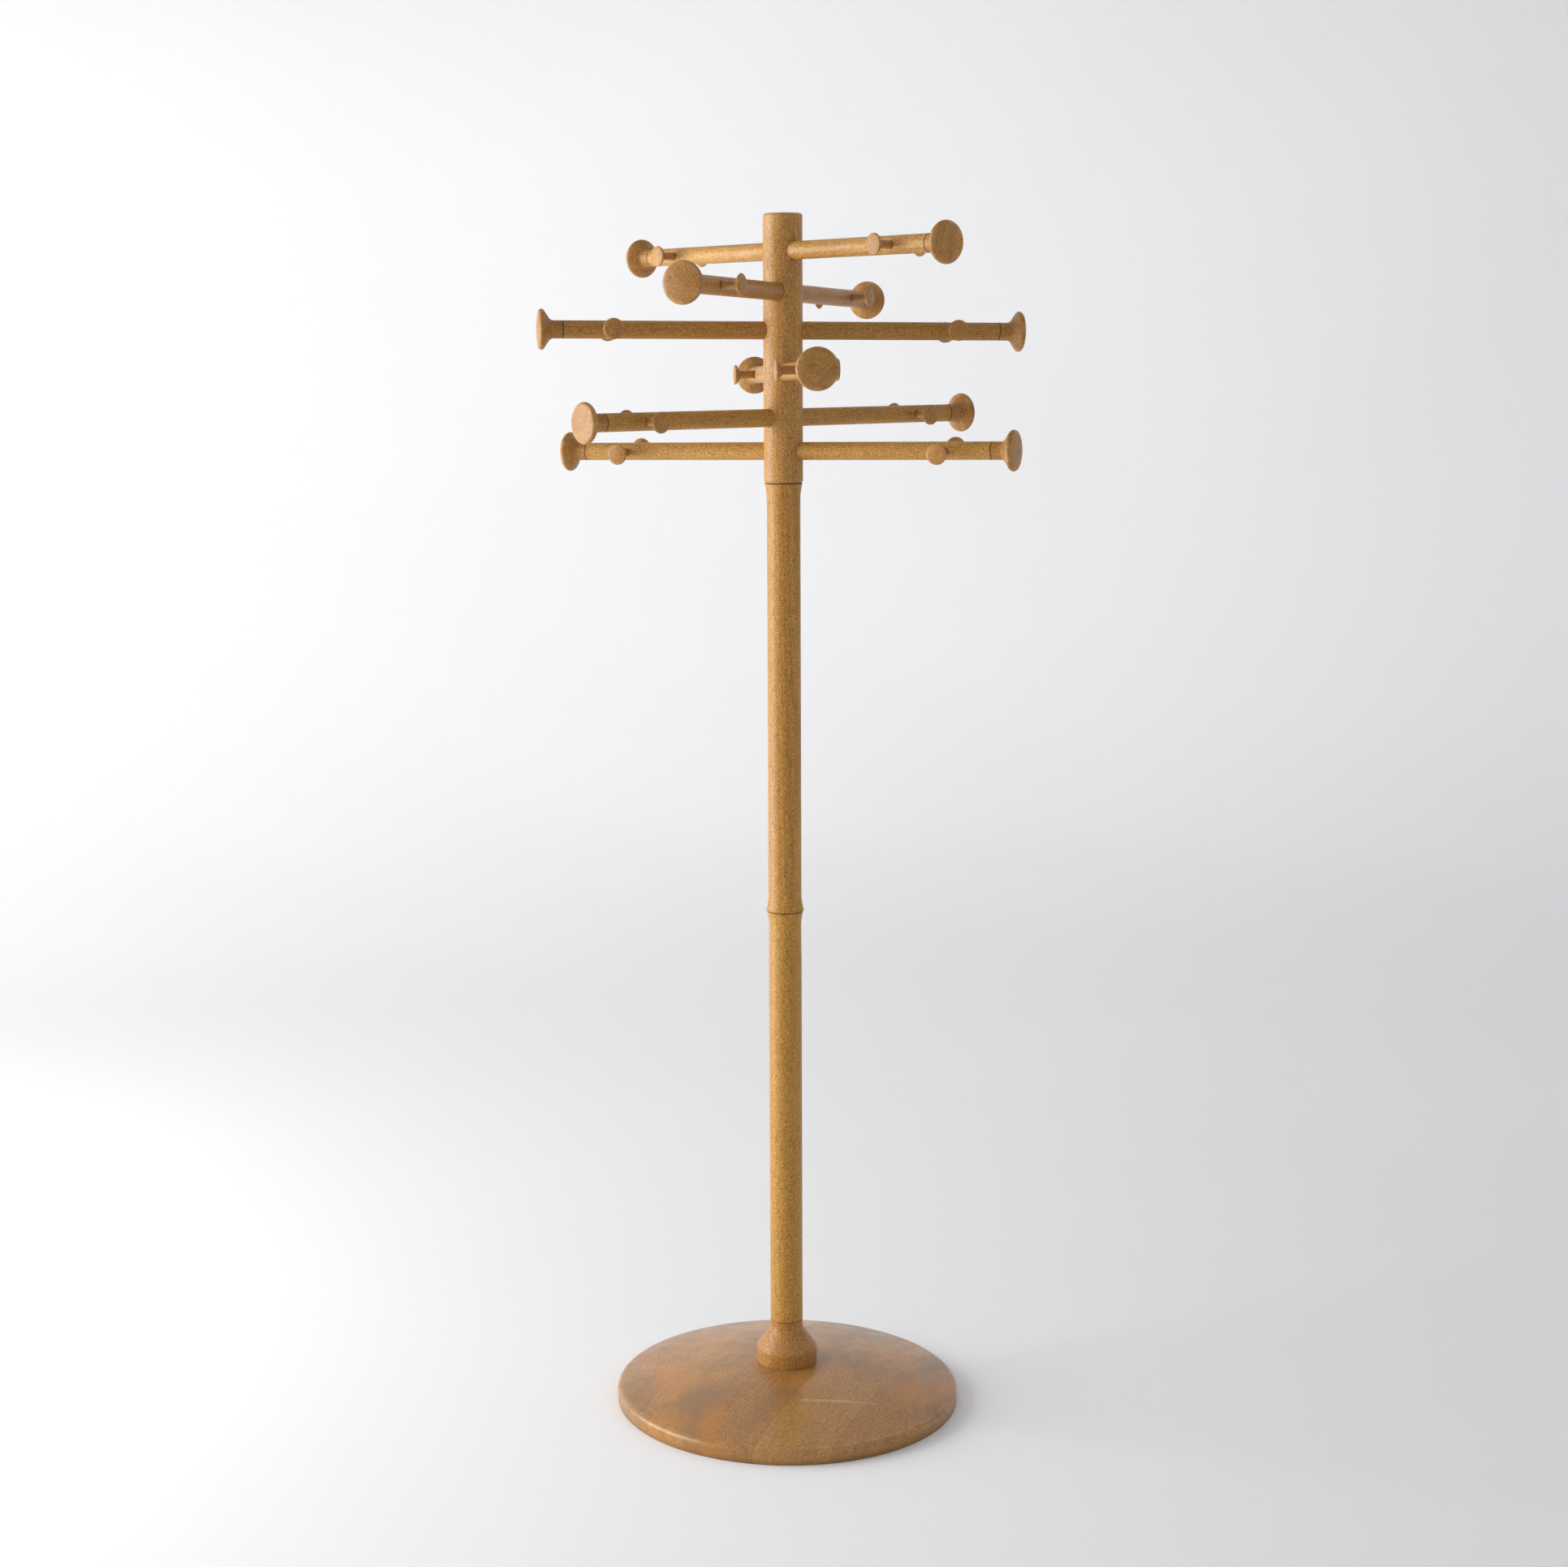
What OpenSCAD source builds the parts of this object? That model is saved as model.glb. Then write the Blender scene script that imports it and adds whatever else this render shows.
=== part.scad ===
// Three-section wooden coat stand: domed round base, turned foot collar, two posts and a head
// with six through-arms. Each arm end carries an end knob and a pair of cross pegs.
// Millimetres. Origin on the floor under the post, +Z up, +X along the third arm from the top.

/* [Base] */
// Diameter of the base disc
base_d = 502; // [440:2:560]
// Height of the rim, edge roundings included
rim_h = 23; // [18:1:30]
// Height of the flat landing under the collar
landing_h = 56; // [42:1:60]
// Radius of the rim's upper edge
rim_round = 7; // [3:0.5:9]
// Width of the inner edge-glued boards
board_w = 100; // [95:1:110]
// Direction of the boards' length, from +X
board_angle = 57; // [0:1:90]
// Distance of the middle board's near glue line from the post's axis
board_offset = 58; // [35:1:65]

/* [Foot collar] */
// Largest diameter of the collar
collar_d = 89; // [80:1:90]
// Height of the collar's top above the floor
collar_top = 120; // [112:1:130]
// Radius of the shoulder
shoulder_r = 15; // [10:1:18]
// Height of the shoulder's widest point above the landing
shoulder_rise = 11; // [4:1:14]
// Radius of the hollow between neck and shoulder
collar_cove_r = 30; // [24:1:32]

/* [Posts] */
// Diameter of both posts between their ends
post_d = 47.4; // [42:0.1:52]
// Diameter of the lower post just under its flared top
waist_d = 46.4; // [42:0.1:50]
// Height of the joint between the posts
mid_joint_z = 736.5; // [650:0.5:800]
// Height of the joint under the head
head_joint_z = 1349.5; // [1250:0.5:1400]
// Diameter of the lower post's top end
lower_top_d = 51.8; // [48:0.1:56]
// Diameter of the middle post's bottom end
middle_bottom_d = 54.2; // [48:0.1:58]
// Diameter of the middle post's top end
middle_top_d = 53; // [48:0.1:56]
// Length of the flares at the ends of the posts
flare_l = 24; // [14:1:32]

/* [Head] */
// Overall height of the stand
stand_h = 1720; // [1640:1:1800]
// Diameter of the head
head_d = 55; // [50:0.5:60]
// Radius of the head's top edge
head_round = 4; // [2:0.5:8]

/* [Arms] */
// Diameter of an arm
arm_d = 25; // [20:0.5:28]
// Distance from the post's axis to the rim of an end knob
arm_reach = 337; // [300:1:380]
// Distance from the post's axis to the cross pegs
peg_at = 241; // [200:1:260]
// Heights of the arms, from the top
arm_z = [1669, 1613, 1560.5, 1503, 1440.5, 1394];
// Directions of the arms' first ends, from +X
arm_turn = [-60, 60, 0, -90, 30, -30];
// How far each arm strays from that even spacing
arm_stray = [0, -0.5, 1.5, -1, 0.5, -1.5];
// How far each arm's first end is drilled off level
arm_tilt = [-0.6, -0.6, -0.7, 0.6, 0.3, 0.3];
// How far each arm is turned in its hole, so that its pegs are off level
arm_roll = [0, -0.5, -1, 0, 1.5, 5];

/* [End knobs] */
// Diameter of an end knob
knob_d = 56; // [46:1:62]
// Rise of the knob's domed face
knob_dome = 6.5; // [3:0.5:9]
// Radius of the knob's rim
knob_rim_r = 3.5; // [2:0.5:5]
// Distance from the rim back to the seam with the arm
knob_seam = 29.5; // [24:0.5:36]
// Slope of the knob's back, from the arm's axis
knob_slope = 54; // [45:1:60]
// Radius of the hollow behind the knob
knob_cove_r = 7; // [4:0.5:9]
// Diameter of the knob's glued spigot
spigot_d = 14; // [10:1:16]
// Length of the spigot
spigot_l = 22; // [15:1:28]

/* [Cross pegs] */
// Diameter of a peg's head
peg_d = 29; // [24:0.5:32]
// Diameter of a peg's neck
peg_neck_d = 11.5; // [9:0.5:13]
// Distance from the arm's axis to the peg's rim
peg_reach = 40; // [34:0.5:46]
// Rise of the peg's domed face
peg_dome = 3.2; // [2:0.2:5]
// Radius of the peg's rim
peg_rim_r = 1.8; // [1:0.2:2.4]
// Slope of the peg head's back, from the peg's axis
peg_slope = 52; // [45:1:60]
// Radius of the hollow behind the peg's head
peg_cove_r = 5; // [3:0.5:6]

/* [Screw joints] */
// Diameter of the steel studs
stud_d = 12; // [10:1:14]
// Length of stud glued into the lower piece
stud_root = 40; // [30:1:45]
// Length of stud standing out of it
stud_out = 22; // [18:1:24]
// Diameter of the brass inserts
insert_d = 18; // [16:1:20]
// Length of the brass inserts
insert_l = 20; // [16:1:22]
// Gap all round between pieces that turn on each other
turning_gap = 0.05; // [0.02:0.01:0.1]

/* [Collar screws] */
// Diameter of the screws' shanks
screw_d = 5; // [4:0.5:6]
// Distance of the screws from the post's axis
screw_at = 26; // [20:1:30]
// Height of the screws' tips above the floor
screw_top = 82; // [70:1:90]

/* [Hidden] */
$fn = 96;
arm_count = len(arm_z);
ends = ["a", "b"];
sides = ["front", "back"];
board_count = 5;
seam_chamfer = 0.8;
tiny = 0.01;
rim_foot = 2;
spigot_hole_room = 1;
insert_hole_room = 6;
peg_root = 3;
screw_head_d = 10;
screw_head_h = 5;
screw_sink = 4;
screw_count = 3;

pale = "#c99b60";
golden = "#a87a40";
brown = "#a3774a";
steel = "#a9abad";
brass = "#b89545";

function board_name(i) = str("base_board_", i + 1);
function arm_name(i) = str("arm_", i + 1);
function knob_name(i, e) = str("end_knob_", i + 1, ends[e]);
function peg_name(i, e, s) = str("peg_", i + 1, ends[e], "_", sides[s]);

// Base ------------------------------------------------------------------

// Half outline of the base. The dome is an arc that runs smoothly into the rim's rounding.
module base_outline() {
    rise = landing_h + 1 - rim_h;
    inner = base_d / 2 - rim_round;
    dome_r = (inner * inner + pow(rise + rim_round, 2) - rim_round * rim_round) / (2 * rise);
    meet_x = inner + rim_round * inner / (dome_r - rim_round);
    meet_y = landing_h + 1 - dome_r + sqrt(dome_r * dome_r - meet_x * meet_x);
    foot = base_d / 2 - rim_foot;
    intersection() {
        translate([0, landing_h + 1 - dome_r]) circle(r = dome_r, $fn = 720);
        square([meet_x, landing_h]);
    }
    intersection() {
        translate([inner, rim_h - rim_round]) circle(r = rim_round);
        translate([inner, rim_h - rim_round]) square([rim_round + 1, meet_y - rim_h + rim_round]);
    }
    polygon([[0, 0], [foot, 0], [base_d / 2, rim_foot], [base_d / 2, rim_h - rim_round], [0, rim_h - rim_round]]);
}

module at_screws() {
    for (k = [0 : screw_count - 1])
        rotate([0, 0, 90 + k * 360 / screw_count]) translate([screw_at, 0, 0]) children();
}

module base_board(i) {
    near = i == 0 ? -base_d : -board_offset + (i - 2) * board_w;
    far = i == board_count - 1 ? base_d : -board_offset + (i - 1) * board_w;
    color(brown)
    difference() {
        intersection() {
            rotate([0, 0, board_angle]) rotate_extrude() base_outline();
            rotate([0, 0, board_angle]) translate([-base_d, near, -1]) cube([2 * base_d, far - near, 100]);
        }
        at_screws() {
            translate([0, 0, -1]) cylinder(h = landing_h + 2, d = screw_d);
            translate([0, 0, -1]) cylinder(h = screw_sink + 1, d = screw_head_d);
            translate([0, 0, screw_sink]) cylinder(h = screw_head_h, d1 = screw_head_d, d2 = screw_d);
        }
    }
}

module collar_screws() {
    color(steel) at_screws() {
        translate([0, 0, screw_sink + tiny]) cylinder(h = screw_top - screw_sink, d = screw_d - 2 * tiny);
        translate([0, 0, screw_sink]) cylinder(h = screw_head_h, d1 = screw_head_d - 2 * tiny, d2 = screw_d - 2 * tiny);
    }
}

// Posts -----------------------------------------------------------------

// Half outline of a hollow flare: it starts at radius r, at the origin, and opens to r_end at height h.
module flare_outline(r, r_end, h) {
    spread = r_end - r;
    hollow_r = (h * h + spread * spread) / (2 * spread);
    difference() {
        square([r_end, h]);
        translate([r + hollow_r, 0]) circle(r = hollow_r, $fn = 720);
    }
}

// Bore for the stud that is glued into the top of the lower piece.
module stud_root_bore(z) {
    translate([0, 0, z - stud_root]) cylinder(h = stud_root + 1, d = stud_d);
}

// Bore for the insert in the bottom of the upper piece, with room for the stud's end.
module insert_bore(z) {
    translate([0, 0, z - 1]) cylinder(h = insert_l + 1, d = insert_d + 2 * turning_gap);
    translate([0, 0, z]) cylinder(h = insert_l + insert_hole_room, d = stud_d + 2);
}

module stud(z) {
    color(steel) translate([0, 0, z - stud_root]) {
        cylinder(h = stud_root + stud_out - 1, d = stud_d);
        translate([0, 0, stud_root + stud_out - 1]) cylinder(h = 1, d1 = stud_d, d2 = stud_d - 2);
    }
}

module insert(z) {
    color(brass) difference() {
        translate([0, 0, z]) cylinder(h = insert_l, d = insert_d);
        translate([0, 0, z - 1]) cylinder(h = insert_l + 2, d = stud_d + 2 * turning_gap);
    }
}

module foot_collar() {
    neck = post_d / 2;
    shoulder_x = collar_d / 2 - shoulder_r;
    shoulder_z = landing_h + shoulder_rise;
    cove_x = neck + collar_cove_r;
    cove_z = shoulder_z + sqrt(pow(shoulder_r + collar_cove_r, 2) - pow(cove_x - shoulder_x, 2));
    share = shoulder_r / (shoulder_r + collar_cove_r);
    touch_x = shoulder_x + (cove_x - shoulder_x) * share;
    touch_z = shoulder_z + (cove_z - shoulder_z) * share;
    color(brown)
    difference() {
        rotate_extrude() {
            translate([0, landing_h]) square([collar_d / 2, shoulder_rise]);
            intersection() {
                translate([shoulder_x, shoulder_z]) circle(r = shoulder_r);
                translate([0, shoulder_z]) square([collar_d, touch_z - shoulder_z]);
            }
            translate([0, landing_h]) square([shoulder_x, touch_z - landing_h]);
            difference() {
                translate([0, touch_z]) square([touch_x, cove_z - touch_z]);
                translate([cove_x, cove_z]) circle(r = collar_cove_r);
            }
            translate([0, touch_z]) square([neck, collar_top - seam_chamfer - touch_z]);
            polygon([[0, collar_top - seam_chamfer], [neck, collar_top - seam_chamfer],
                     [neck - seam_chamfer, collar_top], [0, collar_top]]);
        }
        stud_root_bore(collar_top);
        at_screws() translate([0, 0, landing_h - 1]) cylinder(h = screw_top - landing_h + 2, d = screw_d);
    }
}

module lower_post() {
    r = post_d / 2;
    waist = waist_d / 2;
    top = mid_joint_z - seam_chamfer;
    flare_z = top - flare_l;
    taper_z = flare_z - 60;
    color(golden)
    difference() {
        rotate_extrude() {
            polygon([[0, collar_top], [r - seam_chamfer, collar_top], [r, collar_top + seam_chamfer],
                     [r, taper_z], [waist, flare_z], [0, flare_z]]);
            translate([0, flare_z]) flare_outline(waist, lower_top_d / 2, flare_l);
            polygon([[0, top], [lower_top_d / 2, top],
                     [lower_top_d / 2 - seam_chamfer, mid_joint_z], [0, mid_joint_z]]);
        }
        insert_bore(collar_top);
        stud_root_bore(mid_joint_z);
    }
}

module middle_post() {
    r = post_d / 2;
    bottom = mid_joint_z + seam_chamfer;
    top = head_joint_z - seam_chamfer;
    color(golden)
    difference() {
        rotate_extrude() {
            polygon([[0, mid_joint_z], [middle_bottom_d / 2 - seam_chamfer, mid_joint_z],
                     [middle_bottom_d / 2, bottom], [0, bottom]]);
            translate([0, bottom + flare_l]) mirror([0, 1]) flare_outline(r, middle_bottom_d / 2, flare_l);
            translate([0, bottom + flare_l]) square([r, top - bottom - 2 * flare_l]);
            translate([0, top - flare_l]) flare_outline(r, middle_top_d / 2, flare_l);
            polygon([[0, top], [middle_top_d / 2, top],
                     [middle_top_d / 2 - seam_chamfer, head_joint_z], [0, head_joint_z]]);
        }
        insert_bore(mid_joint_z);
        stud_root_bore(head_joint_z);
    }
}

// Head ------------------------------------------------------------------

// Puts its children on arm i: local +X runs to the arm's first end.
module on_arm(i) {
    translate([0, 0, arm_z[i]])
        rotate([0, 0, arm_turn[i] + arm_stray[i]])
            rotate([0, -arm_tilt[i], 0])
                rotate([arm_roll[i], 0, 0]) children();
}

// Turns children made along +Z so that they run along the arm, to its first or its second end.
module along_arm(i, e) {
    on_arm(i) rotate([0, 0, e * 180]) rotate([0, 90, 0]) children();
}

// Turns children made along +Z so that they run out of the arm's side, where the pegs are.
module across_arm(i, e, s) {
    on_arm(i) translate([(1 - 2 * e) * peg_at, 0, 0]) rotate([s == 0 ? 90 : -90, 0, 0]) children();
}

module head() {
    bottom_r = middle_top_d / 2;
    side = head_d / 2;
    color(pale)
    difference() {
        rotate_extrude() {
            polygon([[0, head_joint_z], [bottom_r - seam_chamfer, head_joint_z],
                     [side, head_joint_z + 3], [side, stand_h - head_round], [0, stand_h - head_round]]);
            square_top = side - head_round;
            translate([0, stand_h - head_round - 1]) square([square_top, head_round + 1]);
            intersection() {
                translate([square_top, stand_h - head_round]) circle(r = head_round);
                translate([0, stand_h - head_round]) square([side, head_round]);
            }
        }
        for (i = [0 : arm_count - 1])
            along_arm(i, 0) translate([0, 0, -head_d]) cylinder(h = 2 * head_d, d = arm_d);
        insert_bore(head_joint_z);
    }
}

module arm(i) {
    half = arm_reach - knob_seam;
    color(golden)
    difference() {
        along_arm(i, 0) translate([0, 0, -half]) cylinder(h = 2 * half, d = arm_d);
        for (e = [0, 1]) {
            along_arm(i, e) translate([0, 0, half - spigot_l - spigot_hole_room])
                cylinder(h = spigot_l + spigot_hole_room + 1, d = spigot_d);
            for (s = [0, 1]) across_arm(i, e, s)
                translate([0, 0, peg_root]) cylinder(h = arm_d, d = peg_neck_d);
        }
    }
}

// Half outline of a turned mushroom with its axis along Y and its rim at y = 0.
// Back to front: neck, hollow, sloping back, rim, domed face.
module mushroom_outline(d, neck_d, back, dome, rim_r, slope, cove_r) {
    rim_x = d / 2 - rim_r;
    neck = neck_d / 2;
    // where the sloping back touches the rim
    low_x = rim_x + rim_r * cos(slope);
    low_y = -rim_r * sin(slope);
    // where its line would cross the neck's side
    corner_y = low_y - (low_x - neck) / tan(slope);
    // how far the hollow reaches from that corner along each line
    leg = cove_r * tan(slope / 2);
    end_x = neck + leg * sin(slope);
    end_y = corner_y + leg * cos(slope);
    // the face is an arc that touches the rim's circle from inside
    face_r = (rim_x * rim_x + dome * dome - rim_r * rim_r) / (2 * (dome - rim_r));
    meet_x = rim_x + rim_r * rim_x / (face_r - rim_r);
    translate([0, -back]) square([neck, back + corner_y - leg / 2]);
    polygon([[0, corner_y - leg], [neck, corner_y - leg], [neck, corner_y], [end_x, end_y], [0, end_y]]);
    difference() {
        polygon([[neck, corner_y], [neck, corner_y - leg], [end_x, end_y]]);
        translate([neck + cove_r, corner_y - leg]) circle(r = cove_r);
    }
    polygon([[0, end_y], [end_x, end_y], [low_x, low_y], [rim_x, 0], [0, 0]]);
    translate([rim_x, 0]) circle(r = rim_r);
    intersection() {
        translate([0, dome - face_r]) circle(r = face_r, $fn = 360);
        square([meet_x, dome + 1]);
    }
}

module end_knob(i, e) {
    color(pale) along_arm(i, e) translate([0, 0, arm_reach]) {
        rotate_extrude() mushroom_outline(knob_d, arm_d, knob_seam, knob_dome, knob_rim_r, knob_slope, knob_cove_r);
        translate([0, 0, -knob_seam - spigot_l]) cylinder(h = spigot_l + 1, d = spigot_d);
    }
}

module peg(i, e, s) {
    color(pale) across_arm(i, e, s) translate([0, 0, peg_reach])
        rotate_extrude()
            mushroom_outline(peg_d, peg_neck_d, peg_reach - peg_root, peg_dome, peg_rim_r, peg_slope, peg_cove_r);
}

// What is drawn ---------------------------------------------------------

for (i = [0 : board_count - 1])
    base_board(i);
foot_collar();
collar_screws();
stud(collar_top);  // foot_stud
insert(collar_top);  // lower_insert
lower_post();
stud(mid_joint_z);  // middle_stud
insert(mid_joint_z);  // middle_insert
middle_post();
stud(head_joint_z);  // head_stud
insert(head_joint_z);  // head_insert
head();
for (i = [0 : arm_count - 1]) {
    arm(i);
    for (e = [0, 1]) {
        end_knob(i, e);
        for (s = [0, 1])
            peg(i, e, s);
    }
}
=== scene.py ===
import math

import bmesh
import bpy
from mathutils import Matrix, Vector


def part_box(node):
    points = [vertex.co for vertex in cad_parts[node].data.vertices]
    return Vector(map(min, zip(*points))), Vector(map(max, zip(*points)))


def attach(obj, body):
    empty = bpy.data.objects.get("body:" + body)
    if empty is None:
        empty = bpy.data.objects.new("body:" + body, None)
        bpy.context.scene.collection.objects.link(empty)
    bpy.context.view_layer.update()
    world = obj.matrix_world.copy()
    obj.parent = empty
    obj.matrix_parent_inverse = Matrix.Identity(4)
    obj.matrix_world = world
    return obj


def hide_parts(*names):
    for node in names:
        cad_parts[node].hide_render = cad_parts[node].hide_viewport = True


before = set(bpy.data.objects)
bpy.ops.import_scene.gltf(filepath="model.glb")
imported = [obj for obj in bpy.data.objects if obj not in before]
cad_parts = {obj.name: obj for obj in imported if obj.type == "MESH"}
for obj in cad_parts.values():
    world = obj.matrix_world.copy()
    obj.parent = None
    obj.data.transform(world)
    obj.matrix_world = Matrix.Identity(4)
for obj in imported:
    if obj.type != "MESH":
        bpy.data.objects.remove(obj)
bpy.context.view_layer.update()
scene = bpy.context.scene
mm = 0.001
print("stage 1: frame loaded,", len(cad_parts), "nodes")

camera = dict(
    lens=58.39, shift=0.060, distance=3.598, height=1.499, around=8.41, yaw=2.16, pitch=9.10, roll=-0.56,
)


def turn(degrees, axis):
    return Matrix.Rotation(math.radians(degrees), 4, axis)


def placeCamera(c):
    data = bpy.data.cameras.new("camera")
    data.lens = c["lens"]
    data.sensor_width = 36
    data.shift_x = c["shift"]
    data.clip_start, data.clip_end = 0.1, 60
    obj = bpy.data.objects.new("camera", data)
    scene.collection.objects.link(obj)
    aim = turn(c["yaw"], "Z") @ turn(90 - c["pitch"], "X") @ turn(c["roll"], "Z")
    obj.matrix_world = turn(-c["around"], "Z") @ Matrix.Translation((0, -c["distance"], c["height"])) @ aim
    scene.camera = obj


placeCamera(camera)
print("stage 2: camera set")


def add(tree, kind, inputs=None, **settings):
    n = tree.nodes.new(kind)
    for key, value in settings.items():
        setattr(n, key, value)
    for key, value in (inputs or {}).items():
        socket = n.inputs[key]
        if isinstance(value, bpy.types.NodeSocket):
            tree.links.new(value, socket)
        else:
            socket.default_value = value
    return n


def sums(tree, operation, a, b=None, c=None, clamp=False):
    given = {i: v for i, v in enumerate((a, b, c)) if v is not None}
    return add(tree, "ShaderNodeMath", given, operation=operation, use_clamp=clamp).outputs[0]


def stretched(tree, vector, scale):
    return add(tree, "ShaderNodeVectorMath", {0: vector, 1: scale}, operation="MULTIPLY").outputs[0]


def noise(tree, vector, scale, detail=2.0, rough=0.5):
    wanted = {"Vector": vector, "Scale": scale, "Detail": detail, "Roughness": rough}
    return add(tree, "ShaderNodeTexNoise", wanted).outputs["Fac"]


def spread(tree, value, low, high, to0=0.0, to1=1.0):
    wanted = {"Value": value, "From Min": low, "From Max": high, "To Min": to0, "To Max": to1}
    return add(tree, "ShaderNodeMapRange", wanted, interpolation_type="SMOOTHSTEP").outputs[0]


def blend(tree, factor, a, b, how="MIX"):
    n = tree.nodes.new("ShaderNodeMix")
    n.data_type, n.blend_type = "RGBA", how
    for index, value in ((0, factor), (6, a), (7, b)):
        if isinstance(value, bpy.types.NodeSocket):
            tree.links.new(value, n.inputs[index])
        else:
            n.inputs[index].default_value = value
    return n.outputs[2]


def newGroup(name, inputs, outputs):
    tree = bpy.data.node_groups.new(name, "ShaderNodeTree")
    for label, kind, value in inputs:
        socket = tree.interface.new_socket(name=label, in_out="INPUT", socket_type="NodeSocket" + kind)
        if value is not None:
            socket.default_value = value
    for label, kind in outputs:
        tree.interface.new_socket(name=label, in_out="OUTPUT", socket_type="NodeSocket" + kind)
    return tree, tree.nodes.new("NodeGroupInput").outputs, tree.nodes.new("NodeGroupOutput").inputs


def makeGrainGroup():
    # growth rings round a pith outside the piece, fibres, beech flecks and open pores; grain runs along Z
    tree, given, out = newGroup(
        "beechGrain",
        [("Grain", "Vector", None), ("Ring Width", "Float", 0.004), ("Sway", "Float", 0.006)],
        [("Rings", "Float"), ("Fibres", "Float"), ("Flecks", "Float"), ("Pores", "Float"), ("Speckle", "Float")],
    )
    place = given["Grain"]
    sway = noise(tree, stretched(tree, place, (9, 9, 1.6)), 1.0, 2)
    swayed = sums(tree, "MULTIPLY", sums(tree, "SUBTRACT", sway, 0.5), given["Sway"])
    flat = stretched(tree, place, (1, 1, 0.012))
    radius = add(tree, "ShaderNodeVectorMath", {0: flat}, operation="LENGTH").outputs["Value"]
    ring = sums(tree, "DIVIDE", sums(tree, "MULTIPLY_ADD", swayed, 4.0, radius), given["Ring Width"])
    bands = add(
        tree, "ShaderNodeTexNoise", {"W": ring, "Scale": 1.0, "Detail": 1.5}, noise_dimensions="1D",
    ).outputs["Fac"]
    fibres = noise(tree, stretched(tree, place, (520, 520, 9)), 1.0, 3, 0.6)
    flecks = noise(tree, stretched(tree, place, (420, 420, 75)), 1.0, 1)
    pores = noise(tree, stretched(tree, place, (1500, 1500, 160)), 1.0, 1)
    speckle = noise(tree, stretched(tree, place, (620, 620, 480)), 1.0, 2, 0.7)
    tree.links.new(spread(tree, bands, 0.3, 0.7), out["Rings"])
    tree.links.new(fibres, out["Fibres"])
    tree.links.new(spread(tree, flecks, 0.58, 0.72), out["Flecks"])
    tree.links.new(spread(tree, pores, 0.6, 0.75), out["Pores"])
    tree.links.new(speckle, out["Speckle"])
    return tree


def makeWearAndShadeGroup():
    # the attribute is above 0 where hands polish an edge, and below 0 in seams, chamfers and bores, where it darkens
    # the wood as dirt together with painted shade
    tree, given, out = newGroup(
        "edgeWearAndShade",
        [("Place", "Vector", None), ("Break Up", "Float", 70.0)],
        [("Worn", "Float"), ("Grime And Shade", "Float"), ("Smears", "Float"), ("Blotches", "Float")],
    )
    rubAndShade = add(tree, "ShaderNodeAttribute", attribute_name="rubAndShade").outputs["Fac"]
    ragged = noise(tree, given["Place"], given["Break Up"], 3, 0.6)
    worn = sums(tree, "MULTIPLY", sums(tree, "MAXIMUM", rubAndShade, 0.0), spread(tree, ragged, 0.38, 0.62))
    # dirt together with painted shade: darkening wherever the attribute is below 0, in seams, chamfers, bores and at
    # contact edges
    grimeAndShade = sums(
        tree, "MULTIPLY", sums(tree, "MAXIMUM", sums(tree, "MULTIPLY", rubAndShade, -1.0), 0.0),
        spread(tree, ragged, 0.15, 0.5, 0.55, 1.0),
    )
    tree.links.new(worn, out["Worn"])
    tree.links.new(grimeAndShade, out["Grime And Shade"])
    tree.links.new(noise(tree, given["Place"], 38.0, 4, 0.55), out["Smears"])
    tree.links.new(noise(tree, given["Place"], 9.0, 3, 0.55), out["Blotches"])
    return tree


def makeMarkGroup():
    # a soft mark between two points, of a given width, with a ragged edge
    tree, given, out = newGroup(
        "longMark",
        [
            ("Place", "Vector", None), ("From", "Vector", None), ("To", "Vector", None),
            ("Width", "Float", 0.01), ("Ragged", "Float", 0.5),
        ],
        [("Mask", "Float")],
    )
    line = add(
        tree, "ShaderNodeVectorMath", {0: given["To"], 1: given["From"]}, operation="SUBTRACT",
    ).outputs[0]
    reach = add(
        tree, "ShaderNodeVectorMath", {0: given["Place"], 1: given["From"]}, operation="SUBTRACT",
    ).outputs[0]
    along = add(tree, "ShaderNodeVectorMath", {0: reach, 1: line}, operation="DOT_PRODUCT").outputs["Value"]
    whole = add(tree, "ShaderNodeVectorMath", {0: line, 1: line}, operation="DOT_PRODUCT").outputs["Value"]
    share = sums(tree, "DIVIDE", along, whole, clamp=True)
    nearest = add(tree, "ShaderNodeVectorMath", {0: line, 3: share}, operation="SCALE").outputs[0]
    gap = add(tree, "ShaderNodeVectorMath", {0: reach, 1: nearest}, operation="DISTANCE").outputs["Value"]
    rag = sums(
        tree, "MULTIPLY", sums(tree, "SUBTRACT", noise(tree, given["Place"], 60.0, 4, 0.65), 0.5),
        given["Ragged"],
    )
    ratio = sums(tree, "ADD", sums(tree, "DIVIDE", gap, given["Width"]), rag)
    tree.links.new(spread(tree, ratio, 0.25, 1.0, 1.0, 0.0), out["Mask"])
    return tree


grainGroup = makeGrainGroup()
wearAndShadeGroup = makeWearAndShadeGroup()
markGroup = makeMarkGroup()


def useGroup(tree, group, inputs):
    n = tree.nodes.new("ShaderNodeGroup")
    n.node_tree = group
    for key, value in inputs.items():
        if isinstance(value, bpy.types.NodeSocket):
            tree.links.new(value, n.inputs[key])
        else:
            n.inputs[key].default_value = value
    return n.outputs


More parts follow.
